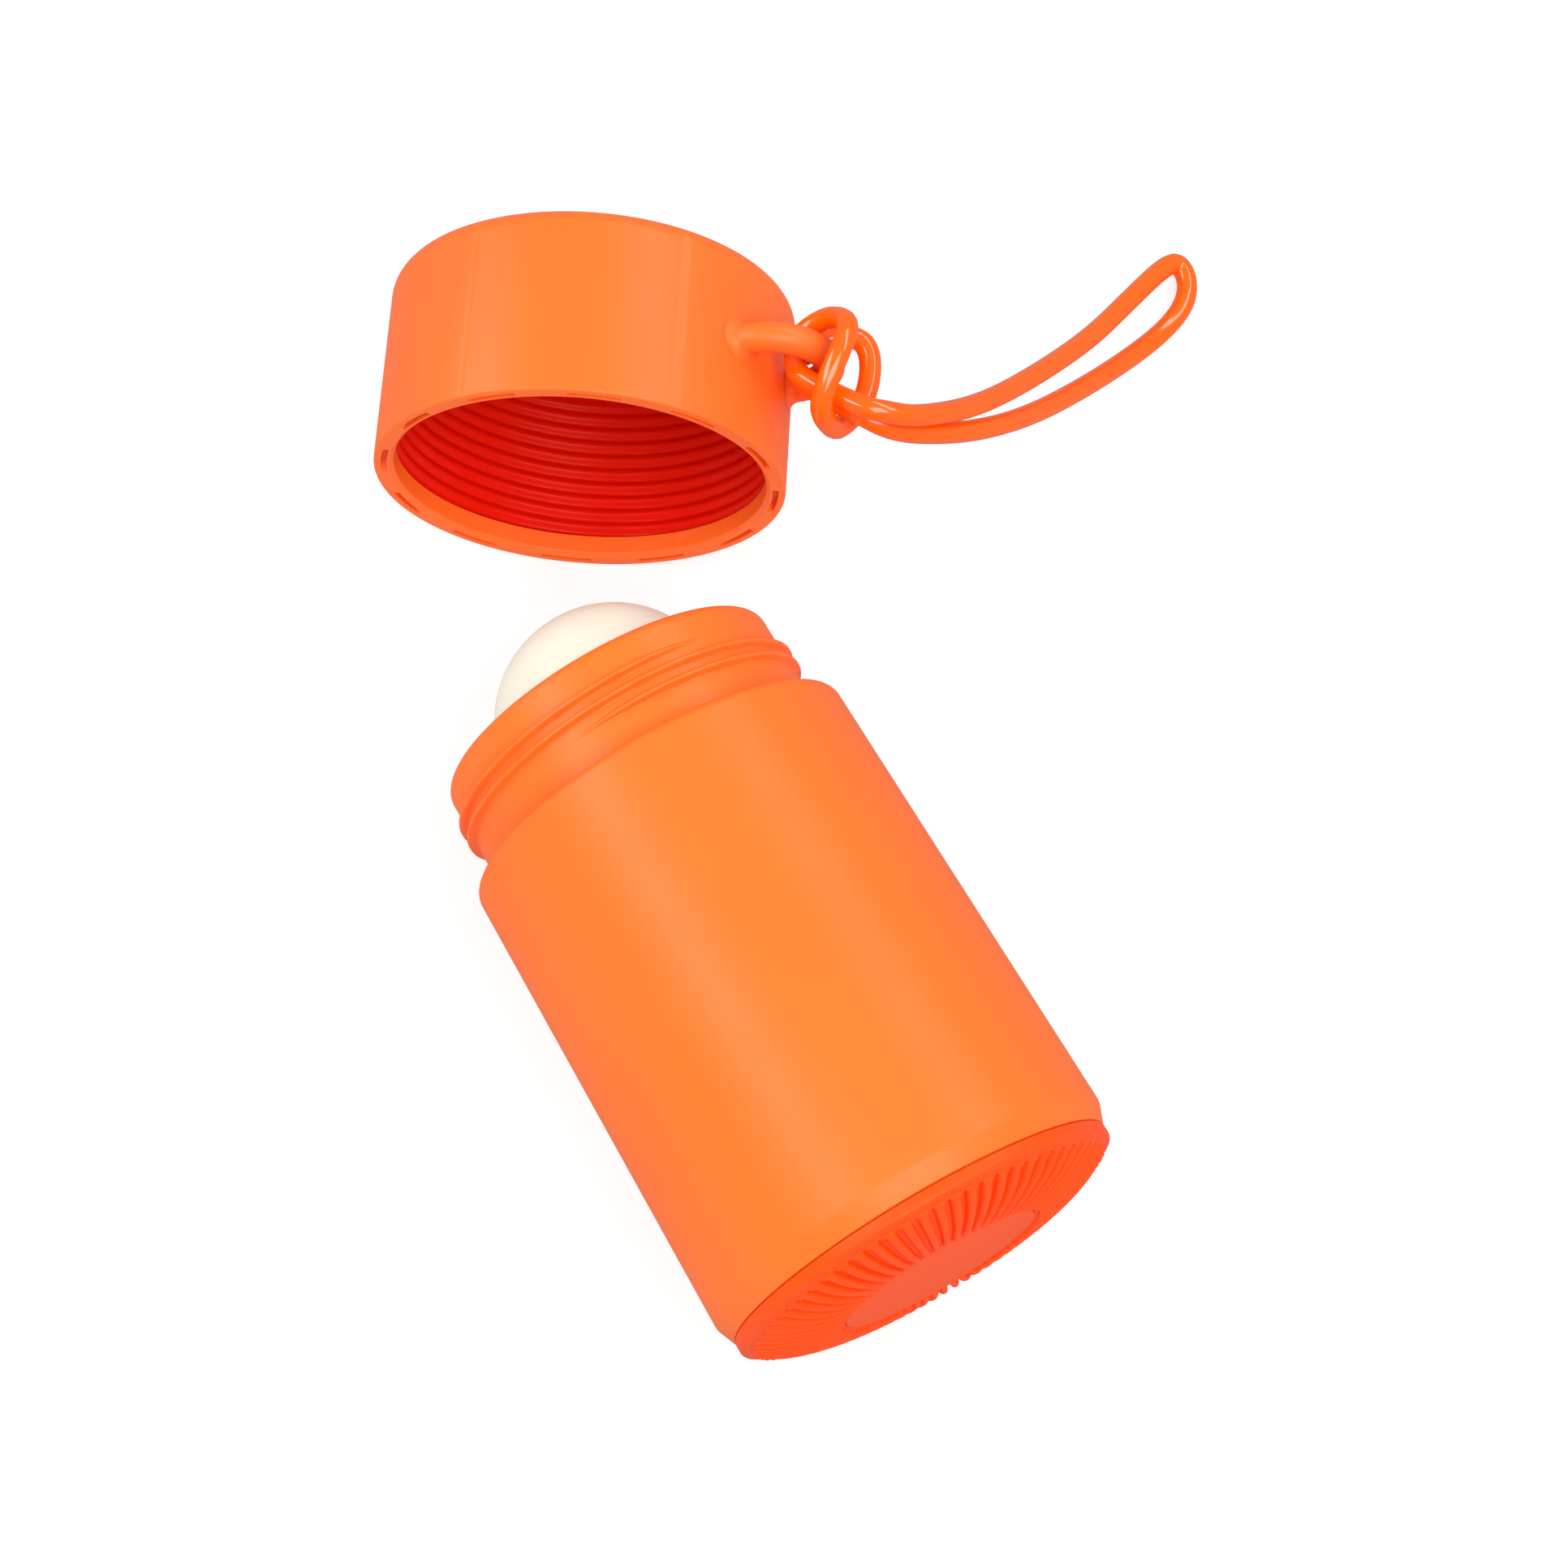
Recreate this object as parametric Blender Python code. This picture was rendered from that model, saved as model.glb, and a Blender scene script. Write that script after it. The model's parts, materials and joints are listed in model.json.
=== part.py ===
"""Refillable roll-on applicator bottle, lying on its side next to its unscrewed cap.

Frame: +Z up with the floor at z = 0, +Y along the bottle from its finned base to the ball,
+X to the side the cap lies on.  Units are metres.

Two working frames are used below.  A bottle station is the distance from the ball's centre
toward the base.  A cap height is the distance from the cap's rim plane toward its top.
"""
import math

import bmesh
import bpy
from mathutils import Vector

# Where the bottle lies
BOTTLE_X = -0.0101
BALL_Y = 0.006935
BOTTLE_Z = 0.0255
BOTTLE_SIDES = 60
INNER_SIDES = 44

# Outer sleeve: neck, shoulder, conical wall
NECK_R = 0.0215
NECK_BORE_R = 0.0196
NECK_TOP = -0.0022
SHOULDER = 0.0106
SHOULDER_R = 0.02455
BASE_R = 0.0255
WALL_END = 0.0694
SLEEVE_END = 0.0719
SLEEVE_BORE_R = 0.0230

# Neck thread
THREAD_CREST_R = 0.02235
THREAD_PITCH = 0.00195
THREAD_START = 0.0021
THREAD_TURNS = 2.17
THREAD_AZ = math.radians(57.5)
THREAD_FOOT = 0.00075

# Roller ball and its housing
BALL_R = 0.0143
CUP_R = 0.01465
HOUSING_R = 0.01925
LIP_TOP = -0.0038

# Refill vessel
VESSEL_R = 0.02265
VESSEL_TOP = 0.0060
VESSEL_END = 0.0645
VESSEL_WALL = 0.0012

# Finned base
RIBS = 68
HEAD_R = 0.0233
PAD_R = 0.0130
PAD_TOP = 0.0768
GROOVE_DEPTH = 0.0008
SPIGOT_R = 0.02265
FLANGE_R = 0.02455

# Cap pose: an arc of 33.5 degrees about a vertical line beside the shoulder
SWING_X = 0.0706
CLOSED_STATION = 0.0093
SWING_ANGLE = math.radians(33.5)
CAP_R = 0.0252
CAP_TOP_R = 0.0250
CAP_H = 0.0246
CAP_BORE_R = 0.0242
LIP_R = 0.02275
LIP_H = 0.0029
LINER_R = 0.02385
RING_PITCH = 0.0019
RINGS = 9
SLOTS = 12
SLOT_AZ = math.radians(26.2)
SLOT_IN = 0.0236
SLOT_OUT = 0.0243

# Lug on the cap
LUG_H = 0.0124
LUG_AZ = math.radians(27.0)
LUG_REACH = 0.0319
LUG_HALF = 0.0069
LUG_WIRE_R = 0.00187

# Cord
CORD_R = 0.0013


def clear_scene():
    for item in list(bpy.data.objects):
        bpy.data.objects.remove(item, do_unlink=True)


def plastic(name, color, roughness):
    mat = bpy.data.materials.new(name)
    mat.use_nodes = True
    shader = mat.node_tree.nodes["Principled BSDF"]
    shader.inputs["Base Color"].default_value = (color[0], color[1], color[2], 1.0)
    shader.inputs["Roughness"].default_value = roughness
    mat.diffuse_color = (color[0], color[1], color[2], 1.0)
    return mat


def add_mesh(name, verts, faces, mat):
    mesh = bpy.data.meshes.new(name)
    mesh.from_pydata([tuple(v) for v in verts], [], faces)
    bm = bmesh.new()
    bm.from_mesh(mesh)
    bmesh.ops.recalc_face_normals(bm, faces=bm.faces)
    bm.to_mesh(mesh)
    bm.free()
    mesh.materials.append(mat)
    obj = bpy.data.objects.new(name, mesh)
    bpy.context.collection.objects.link(obj)
    return obj


def shade(obj):
    if obj.type != "MESH":
        return
    for poly in obj.data.polygons:
        poly.use_smooth = True
    obj.data.set_sharp_from_angle(angle=math.radians(32.0))


def bottle_point(radius, azimuth, station):
    """Azimuth runs from +X toward +Z."""
    x = BOTTLE_X + radius * math.cos(azimuth)
    z = BOTTLE_Z + radius * math.sin(azimuth)
    return Vector((x, BALL_Y - station, z))


CAP_AXIS = Vector((math.sin(SWING_ANGLE), math.cos(SWING_ANGLE), 0.0))
CAP_SIDE = Vector((math.cos(SWING_ANGLE), -math.sin(SWING_ANGLE), 0.0))
UP = Vector((0.0, 0.0, 1.0))


def cap_origin():
    x = BOTTLE_X + SWING_X * (1.0 - math.cos(SWING_ANGLE))
    y = BALL_Y - CLOSED_STATION + SWING_X * math.sin(SWING_ANGLE)
    return Vector((x, y, CAP_R))


def cap_point(radius, azimuth, height):
    """Azimuth runs from the cap's sideways direction toward +Z."""
    across = CAP_SIDE * (radius * math.cos(azimuth)) + UP * (radius * math.sin(azimuth))
    return cap_origin() + CAP_AXIS * height + across


def lug_point(reach, across, height):
    """Reach is radial, across is tangential, height is above the rim."""
    out = CAP_SIDE * math.cos(LUG_AZ) + UP * math.sin(LUG_AZ)
    side = UP * math.cos(LUG_AZ) - CAP_SIDE * math.sin(LUG_AZ)
    return cap_origin() + CAP_AXIS * height + out * reach + side * across


def revolve(name, profile, place, sides, mat, closed=True):
    """Spin (radius, station) points; a radius of zero closes on the axis."""
    verts = []
    rows = []
    for radius, station in profile:
        if radius <= 0.0:
            rows.append([len(verts)])
            verts.append(place(0.0, 0.0, station))
            continue
        row = []
        for i in range(sides):
            row.append(len(verts))
            verts.append(place(radius, 2.0 * math.pi * i / sides, station))
        rows.append(row)
    faces = []
    count = len(rows) if closed else len(rows) - 1
    for j in range(count):
        a = rows[j]
        b = rows[(j + 1) % len(rows)]
        if len(a) == 1 and len(b) == 1:
            continue
        for i in range(sides):
            k = (i + 1) % sides
            if len(a) == 1:
                faces.append((a[0], b[i], b[k]))
            elif len(b) == 1:
                faces.append((a[i], b[0], a[k]))
            else:
                faces.append((a[i], b[i], b[k], a[k]))
    return add_mesh(name, verts, faces, mat)


def smooth_path(points, steps):
    """Catmull-Rom points through the route."""
    out = []
    last = len(points) - 1
    for i in range(last):
        p0 = points[max(i - 1, 0)]
        p1 = points[i]
        p2 = points[i + 1]
        p3 = points[min(i + 2, last)]
        for j in range(steps):
            t = j / steps
            a = p1 * 2.0
            b = (p2 - p0) * t
            c = (p0 * 2.0 - p1 * 5.0 + p2 * 4.0 - p3) * (t * t)
            d = (p1 * 3.0 - p0 - p2 * 3.0 + p3) * (t * t * t)
            out.append((a + b + c + d) * 0.5)
    out.append(points[last])
    return out


def tube(name, path, radii, sides, mat, first_normal):
    """Round tube along a path, capped at both ends."""
    verts = []
    faces = []
    normal = first_normal.normalized()
    for i, point in enumerate(path):
        ahead = path[min(i + 1, len(path) - 1)]
        behind = path[max(i - 1, 0)]
        tangent = (ahead - behind).normalized()
        normal = (normal - tangent * normal.dot(tangent)).normalized()
        other = tangent.cross(normal)
        for k in range(sides):
            turn = 2.0 * math.pi * (k + 0.5) / sides
            offset = normal * math.cos(turn) + other * math.sin(turn)
            verts.append(point + offset * radii[i])
    for i in range(len(path) - 1):
        for k in range(sides):
            m = (k + 1) % sides
            a = i * sides
            b = a + sides
            faces.append((a + k, a + m, b + m, b + k))
    faces.append(tuple(range(sides)))
    end = (len(path) - 1) * sides
    faces.append(tuple(range(end + sides - 1, end - 1, -1)))
    return add_mesh(name, verts, faces, mat)


def combine(target, tool, operation):
    """Boolean applied to the mesh, leaving one closed body."""
    mod = target.modifiers.new("combine", "BOOLEAN")
    mod.operation = operation
    mod.solver = "EXACT"
    mod.object = tool
    graph = bpy.context.evaluated_depsgraph_get()
    result = bpy.data.meshes.new_from_object(target.evaluated_get(graph))
    target.modifiers.remove(mod)
    target.data = result
    bpy.data.objects.remove(tool, do_unlink=True)


def tidy_mesh(obj, distance=0.00002):
    bm = bmesh.new()
    bm.from_mesh(obj.data)
    bmesh.ops.remove_doubles(bm, verts=bm.verts, dist=distance)
    bmesh.ops.dissolve_degenerate(bm, edges=bm.edges, dist=distance)
    bmesh.ops.recalc_face_normals(bm, faces=bm.faces)
    bm.to_mesh(obj.data)
    bm.free()


def build_sleeve(mat):
    profile = [
        (NECK_BORE_R, NECK_TOP + 0.0003),
        (NECK_BORE_R + 0.0004, NECK_TOP),
        (0.0207, NECK_TOP + 0.0001),
        (0.0213, NECK_TOP + 0.0007),
        (NECK_R, NECK_TOP + 0.0016),
        (NECK_R, SHOULDER),
        (0.0233, SHOULDER),
        (0.02425, SHOULDER + 0.0004),
        (SHOULDER_R, SHOULDER + 0.0012),
        (BASE_R, WALL_END),
        (0.0253, WALL_END + 0.0009),
        (0.0247, SLEEVE_END - 0.0003),
        (0.0244, SLEEVE_END),
        (SLEEVE_BORE_R, SLEEVE_END),
        (SLEEVE_BORE_R, SHOULDER + 0.0018),
        (NECK_BORE_R, SHOULDER + 0.0018),
    ]
    sleeve = revolve("outer_sleeve", profile, bottle_point, BOTTLE_SIDES, mat)
    path = []
    sections = 66
    for i in range(sections + 1):
        t = i / sections
        turns = t * THREAD_TURNS
        fade = min(1.0, t / 0.045, (1.0 - t) / 0.045)
        azimuth = THREAD_AZ + 2.0 * math.pi * turns
        station = THREAD_START + THREAD_PITCH * turns
        path.append((azimuth, station, fade))
    verts = []
    faces = []
    for azimuth, station, fade in path:
        crest = NECK_R + 0.00004 + (THREAD_CREST_R - NECK_R - 0.00004) * fade
        verts.append(bottle_point(NECK_R - 0.0006, azimuth, station - THREAD_FOOT))
        verts.append(bottle_point(crest, azimuth, station - 0.00015))
        verts.append(bottle_point(crest, azimuth, station + 0.00015))
        verts.append(bottle_point(NECK_R - 0.0006, azimuth, station + THREAD_FOOT))
    for i in range(sections):
        for k in range(4):
            m = (k + 1) % 4
            a = i * 4
            faces.append((a + k, a + m, a + 4 + m, a + 4 + k))
    faces.append((0, 1, 2, 3))
    end = sections * 4
    faces.append((end + 3, end + 2, end + 1, end))
    ridge = add_mesh("ridge", verts, faces, mat)
    combine(sleeve, ridge, "UNION")
    tidy_mesh(sleeve)
    return sleeve


def cup_radius(station, radius):
    return math.sqrt(max(radius * radius - station * station, 0.0))


def build_housing(mat):
    profile = [(0.0150, LIP_TOP), (0.0188, -0.0022), (HOUSING_R, -0.0018)]
    profile += [(HOUSING_R, 0.0057), (0.0177, 0.0057), (0.0177, 0.0120), (0.0092, 0.0120)]
    for station in (0.0112, 0.0090, 0.0062, 0.0031, 0.0, LIP_TOP):
        profile.append((cup_radius(station, CUP_R), station))
    return revolve("ball_housing", profile, bottle_point, INNER_SIDES, mat)


def build_ball(mat):
    profile = []
    rings = 14
    for i in range(rings + 1):
        angle = math.pi * i / rings
        radius = BALL_R * math.sin(angle)
        if i in (0, rings):
            radius = 0.0
        profile.append((radius, -BALL_R * math.cos(angle)))
    return revolve("roller_ball", profile, bottle_point, 28, mat, closed=False)


def build_vessel(mat):
    profile = [
        (0.0180, VESSEL_TOP),
        (0.01925, VESSEL_TOP),
        (0.01925, SHOULDER + 0.0022),
        (VESSEL_R, SHOULDER + 0.0022),
        (VESSEL_R, VESSEL_END),
        (0.0, VESSEL_END),
        (0.0, VESSEL_END - VESSEL_WALL),
        (VESSEL_R - VESSEL_WALL, VESSEL_END - VESSEL_WALL),
        (VESSEL_R - VESSEL_WALL, SHOULDER + 0.0034),
        (0.0180, SHOULDER + 0.0034),
    ]
    return revolve("refill_vessel", profile, bottle_point, INNER_SIDES, mat)


def rib_crest(radius):
    """Station of a rib's crest: steep at the head, then a slow rise to the pad."""
    t = (HEAD_R - radius) / (HEAD_R - PAD_R)
    rise = PAD_TOP - 0.0002 - 0.0738
    return 0.0738 + rise * math.sin(0.5 * math.pi * min(1.0, t)) ** 0.62


def build_base(mat):
    """Outer wall and spigot have one column per rib, the rib zone has four."""
    place = bottle_point
    pitch = 2.0 * math.pi / RIBS
    verts = []
    faces = []

    def coarse(radius, station):
        row = []
        for i in range(RIBS):
            row.append(len(verts))
            verts.append(place(radius, pitch * i, station))
        return row

    def join(a, b):
        for i in range(RIBS):
            k = (i + 1) % RIBS
            faces.append((a[i], b[i], b[k], a[k]))

    def fan(row, apex):
        for i in range(RIBS):
            faces.append((row[i], row[(i + 1) % RIBS], apex))

    def fine(radius, share, crest, floor):
        row = []
        for i in range(RIBS):
            for k, level in ((-1.0, floor), (-0.6, crest), (0.6, crest), (1.0, floor)):
                row.append(len(verts))
                azimuth = pitch * (i + 0.5) + k * share * pitch
                verts.append(place(radius, azimuth, level))
        return row

    def join_fine(a, b):
        count = len(a)
        for i in range(count):
            k = (i + 1) % count
            faces.append((a[i], b[i], b[k], a[k]))

    def fan_in(row, cells):
        for i in range(RIBS):
            k = (i + 1) % RIBS
            rib = [cells[4 * i + m] for m in range(4)]
            after = cells[(4 * i + 4) % len(cells)]
            faces.append((row[i], rib[0], rib[1], rib[2], rib[3], row[k]))
            faces.append((row[k], rib[3], after))

    top = coarse(SPIGOT_R, 0.0650)
    seat = coarse(SPIGOT_R, 0.0722)
    flange = coarse(0.0242, 0.0722)
    edge = coarse(FLANGE_R, 0.0725)
    rim = coarse(0.0245, 0.0731)
    brow = coarse(0.0239, 0.0737)
    cavity_edge = coarse(0.0213, 0.0650)
    cavity_floor = coarse(0.0190, 0.0712)
    apex = len(verts)
    verts.append(place(0.0, 0.0, 0.0712))
    order = [top, seat, flange, edge, rim, brow]
    for a, b in zip(order[:-1], order[1:]):
        join(a, b)
    join(cavity_edge, top)
    join(cavity_floor, cavity_edge)
    fan(cavity_floor, apex)
    cells = [fine(HEAD_R, 0.30, 0.07395, 0.0738)]
    for radius, share in ((0.0225, 0.36), (0.0196, 0.37), (PAD_R + 0.0001, 0.38)):
        crest = rib_crest(radius)
        cells.append(fine(radius, share, crest, crest - GROOVE_DEPTH))
    for a, b in zip(cells[:-1], cells[1:]):
        join_fine(a, b)
    fan_in(brow, cells[0])
    pad_foot = coarse(PAD_R - 0.0001, PAD_TOP)
    fan_in(pad_foot, cells[-1])
    pad_lip = coarse(0.0126, PAD_TOP)
    pocket = coarse(0.0126, PAD_TOP - 0.0009)
    centre = len(verts)
    verts.append(place(0.0, 0.0, PAD_TOP - 0.0009))
    join(pad_foot, pad_lip)
    join(pad_lip, pocket)
    fan(pocket, centre)
    return add_mesh("base_foot", verts, faces, mat)


def build_badge(mat):
    top = PAD_TOP + 0.0001
    back = PAD_TOP - 0.0006
    profile = [(0.0, top), (0.0121, top), (0.0123, top - 0.0001), (0.0123, back), (0.0, back)]
    return revolve("base_badge", profile, bottle_point, RIBS, mat, closed=False)


def build_shell(mat):
    body = [
        (0.0, 0.0),
        (CAP_R - 0.0002, 0.0),
        (CAP_R, 0.0002),
        (CAP_TOP_R, CAP_H - 0.0027),
        (0.02485, CAP_H - 0.0017),
        (0.0243, CAP_H - 0.0008),
        (0.0234, CAP_H - 0.0002),
        (0.0223, CAP_H),
        (0.0, CAP_H),
    ]
    shell = revolve("cap_shell", body, cap_point, BOTTLE_SIDES, mat, closed=False)
    middle = LUG_REACH - LUG_HALF
    route = [lug_point(0.0205, LUG_HALF, LUG_H)]
    for k in range(13):
        turn = math.pi * k / 12
        route.append(lug_point(middle + LUG_HALF * math.sin(turn), LUG_HALF * math.cos(turn), LUG_H))
    route.append(lug_point(0.0205, -LUG_HALF, LUG_H))
    radii = [LUG_WIRE_R] * len(route)
    radii[0] = 0.0034
    radii[-1] = 0.0034
    lug = tube("lug", route, radii, 12, mat, CAP_AXIS)
    combine(shell, lug, "UNION")
    dome = CLOSED_STATION
    cavity = [
        (0.0, -0.001),
        (LIP_R + 0.0014, -0.001),
        (LIP_R, 0.0004),
        (LIP_R, LIP_H),
        (CAP_BORE_R, LIP_H),
        (CAP_BORE_R - 0.0001, 0.0229),
        (0.0052, 0.0229),
        (0.0028, dome + cup_radius(0.0028, CUP_R)),
        (0.0, dome + CUP_R),
    ]
    bore = revolve("bore", cavity, cap_point, BOTTLE_SIDES, mat, closed=False)
    combine(shell, bore, "DIFFERENCE")
    verts = []
    faces = []
    span = math.radians(15.0)
    for slot in range(SLOTS):
        middle = SLOT_AZ + 2.0 * math.pi * slot / SLOTS
        start = len(verts)
        for k in range(4):
            azimuth = middle - 0.5 * span + span * k / 3
            verts.append(cap_point(SLOT_IN, azimuth, -0.001))
            verts.append(cap_point(SLOT_OUT, azimuth, -0.001))
            verts.append(cap_point(SLOT_OUT, azimuth, 0.0012))
            verts.append(cap_point(SLOT_IN, azimuth, 0.0012))
        for k in range(3):
            a = start + 4 * k
            for m in range(4):
                n = (m + 1) % 4
                faces.append((a + m, a + n, a + 4 + n, a + 4 + m))
        faces.append((start, start + 1, start + 2, start + 3))
        faces.append((start + 15, start + 14, start + 13, start + 12))
    slots = add_mesh("slots", verts, faces, mat)
    combine(shell, slots, "DIFFERENCE")
    tidy_mesh(shell)
    return shell


def build_liner(mat):
    """Threaded sleeve inside the cap, its ridges drawn as rings."""
    bottom = 0.0032
    top = 0.0224
    crest = LIP_R
    root = LIP_R + 0.00055
    profile = [(LINER_R, bottom), (root, bottom)]
    for i in range(RINGS):
        middle = 0.0046 + RING_PITCH * i
        profile.append((crest, middle))
        profile.append((root, middle + 0.5 * RING_PITCH))
    profile += [(root, top), (LINER_R, top)]
    return revolve("cap_liner", profile, cap_point, 44, mat)


def build_cap_seal(mat):
    profile = [(0.0098, 0.0226), (0.0114, 0.0226), (0.0114, 0.0190), (0.0109, 0.0188), (0.0098, 0.0205)]
    return revolve("cap_seal", profile, cap_point, 36, mat)


CORD_ROUTE_MM = [
    # down through the lug hole and out under the bar
    (30.1, 33.4, 35.6), (29.3, 32.6, 35.6), (29.3, 29.6, 36.5), (32.1, 23.5, 38.4),
    # lower strand of the loop, drooping to the floor
    (34.5, 20.5, 37.3), (38.3, 19.0, 34.5), (46.6, 18.4, 27.8), (57.0, 20.1, 18.8),
    (68.9, 23.5, 9.6), (79.0, 26.6, 3.4), (84.9, 28.4, 1.6),
    # turn at the loop's tip
    (88.7, 30.1, 1.4), (90.9, 32.3, 1.4), (91.6, 34.7, 1.7), (90.0, 36.0, 2.6),
    # upper strand back to the lug
    (80.7, 32.4, 6.2), (71.5, 28.3, 11.6), (58.8, 23.6, 21.2), (47.4, 20.2, 30.6),
    (38.1, 19.4, 38.7), (34.4, 20.8, 41.1),
    # under the bar and up through the hole
    (32.1, 22.7, 41.4), (28.5, 29.4, 39.9), (28.7, 32.2, 38.6),
    # front arm of the hitch, over the bar and down in front of both strands
    (30.9, 35.2, 38.7), (34.3, 35.0, 40.9), (35.4, 32.7, 43.6), (34.5, 30.6, 45.2),
    (32.0, 28.3, 45.7), (28.8, 25.9, 44.1),
    # under the strands
    (27.6, 24.5, 41.8), (28.1, 23.8, 39.3), (29.5, 23.6, 36.0), (31.8, 24.4, 34.5),
    # back arm, up and over the bar to the hole again
    (35.0, 26.0, 34.1), (37.8, 29.2, 34.7), (38.5, 32.3, 35.5), (35.9, 34.5, 35.6),
    (31.8, 34.8, 35.7), (30.4, 33.6, 35.7),
]


def build_cord(mat):
    route = [Vector(item) * 0.001 for item in CORD_ROUTE_MM]
    path = smooth_path(route, 2)
    curve = bpy.data.curves.new("cord_loop", "CURVE")
    curve.dimensions = "3D"
    curve.bevel_depth = CORD_R
    curve.bevel_resolution = 2
    curve.use_fill_caps = True
    spline = curve.splines.new("POLY")
    spline.points.add(len(path) - 1)
    for point, place in zip(spline.points, path):
        point.co = (place.x, place.y, place.z, 1.0)
    curve.materials.append(mat)
    cord = bpy.data.objects.new("cord_loop", curve)
    bpy.context.collection.objects.link(cord)
    return cord


def build_all():
    clear_scene()
    orange = plastic("sleeve_orange", (1.0, 0.25, 0.05), 0.42)
    cap_orange = plastic("cap_orange", (1.0, 0.25, 0.05), 0.42)
    base_orange = plastic("base_orange", (1.0, 0.22, 0.06), 0.45)
    badge_orange = plastic("badge_orange", (1.0, 0.18, 0.07), 0.45)
    liner_orange = plastic("liner_orange", (0.9, 0.14, 0.03), 0.4)
    cream = plastic("ball_cream", (0.92, 0.88, 0.74), 0.3)
    white = plastic("housing_white", (0.9, 0.9, 0.88), 0.4)
    clear = plastic("vessel_natural", (0.86, 0.86, 0.82), 0.35)
    seal_white = plastic("seal_natural", (0.9, 0.9, 0.86), 0.5)
    cord_mat = plastic("cord_orange", (1.0, 0.16, 0.0), 0.15)
    parts = [
        build_sleeve(orange),
        build_vessel(clear),
        build_housing(white),
        build_ball(cream),
        build_base(base_orange),
        build_badge(badge_orange),
        build_shell(cap_orange),
        build_liner(liner_orange),
        build_cap_seal(seal_white),
        build_cord(cord_mat),
    ]
    for obj in parts:
        shade(obj)


build_all()
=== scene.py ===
"""Looks of a refillable roll-on applicator that lies beside its cap.

Everything is in metres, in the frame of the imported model: +Z up, +Y along the bottle from base
to ball.  A station runs from the ball's centre toward the base, a height runs from the cap's rim
toward its top, and an azimuth runs round either axis from the horizontal toward +Z.
"""
import json
import math

import bmesh
import bpy
from mathutils import Matrix, Vector


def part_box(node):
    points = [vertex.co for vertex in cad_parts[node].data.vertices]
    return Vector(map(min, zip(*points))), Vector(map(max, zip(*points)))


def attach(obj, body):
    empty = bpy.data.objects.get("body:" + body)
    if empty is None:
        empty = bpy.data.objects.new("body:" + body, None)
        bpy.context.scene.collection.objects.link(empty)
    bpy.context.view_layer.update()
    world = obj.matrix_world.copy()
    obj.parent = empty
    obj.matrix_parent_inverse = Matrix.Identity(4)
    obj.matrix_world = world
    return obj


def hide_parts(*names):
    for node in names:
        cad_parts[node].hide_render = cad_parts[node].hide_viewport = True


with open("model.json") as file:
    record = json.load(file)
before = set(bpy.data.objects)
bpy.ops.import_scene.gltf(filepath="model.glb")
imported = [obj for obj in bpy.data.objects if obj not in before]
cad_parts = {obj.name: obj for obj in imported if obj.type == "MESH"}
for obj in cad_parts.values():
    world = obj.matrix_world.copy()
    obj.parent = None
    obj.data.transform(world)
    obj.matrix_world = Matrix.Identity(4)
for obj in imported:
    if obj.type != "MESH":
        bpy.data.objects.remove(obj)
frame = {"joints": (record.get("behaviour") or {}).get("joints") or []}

MM = 0.001
TURN = 2.0 * math.pi
SAME = 1e-7
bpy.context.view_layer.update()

# Places read from the frame
BALL_LOW, BALL_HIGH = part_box("roller_ball")
SLEEVE_LOW, SLEEVE_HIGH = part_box("outer_sleeve")
BALL_R = 0.5 * (BALL_HIGH.z - BALL_LOW.z)
BALL = 0.5 * (BALL_LOW + BALL_HIGH)
JOINTS = {joint["name"]: joint for joint in frame["joints"]}
CAP = Vector(JOINTS["cap_turn"]["pos_m"])
CAP_AXIS = -Vector(JOINTS["cap_turn"]["axis"]).normalized()
UP = Vector((0.0, 0.0, 1.0))
CAP_SIDE = CAP_AXIS.cross(UP)

# Sleeve
NECK_TOP = BALL.y - SLEEVE_HIGH.y
SLEEVE_END = BALL.y - SLEEVE_LOW.y
NECK_R = 21.5 * MM
NECK_BORE_R = 19.6 * MM
SHOULDER = 10.6 * MM
SHOULDER_R = 24.55 * MM
BASE_R = 25.5 * MM
WALL_END = 69.4 * MM
SLEEVE_BORE_R = 23.0 * MM

# Neck thread
THREAD_H = 0.9 * MM
THREAD_PITCH = 1.95 * MM
THREAD_START = 2.1 * MM
THREAD_TURNS = 2.17
THREAD_AZ = math.radians(57.5)

# Housing, vessel
CUP_R = 14.65 * MM
HOUSING_R = 19.25 * MM
VESSEL_R = 22.65 * MM

# Base
RIBS = 68
HEAD_R = 23.3 * MM
PAD_R = 13.0 * MM
PAD_TOP = 76.8 * MM
CREST_RISE = 0.08 * MM
RIB_FOOT = 73.8 * MM
SPIGOT_R = 22.65 * MM
SPIGOT_TOP = 65.0 * MM
SPIGOT_FLOOR = 71.2 * MM
FLANGE_R = 24.5 * MM
FLANGE_TOP = 71.98 * MM
GROOVE_DEPTH = 1.1 * MM

# Cap
CAP_R = 25.2 * MM
CAP_TOP_R = 25.0 * MM
CAP_H = 24.6 * MM
CAP_CLOSED = 9.3 * MM
LIP_R = 22.75 * MM
LINER_R = 23.85 * MM
CAP_PITCH = 1.9 * MM
SLOTS = 12
SLOT_AZ = math.radians(26.2)
SLOT_HALF = math.radians(7.5)
SLOT_DEPTH = 1.2 * MM
CAP_CEILING = 22.9 * MM
RIDGE_H = 0.6 * MM

# Lug
LUG_H = 12.4 * MM
LUG_AZ = math.radians(27.0)
LUG_REACH = 31.9 * MM
LUG_HALF = 6.9 * MM
LUG_R = 1.87 * MM

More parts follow.
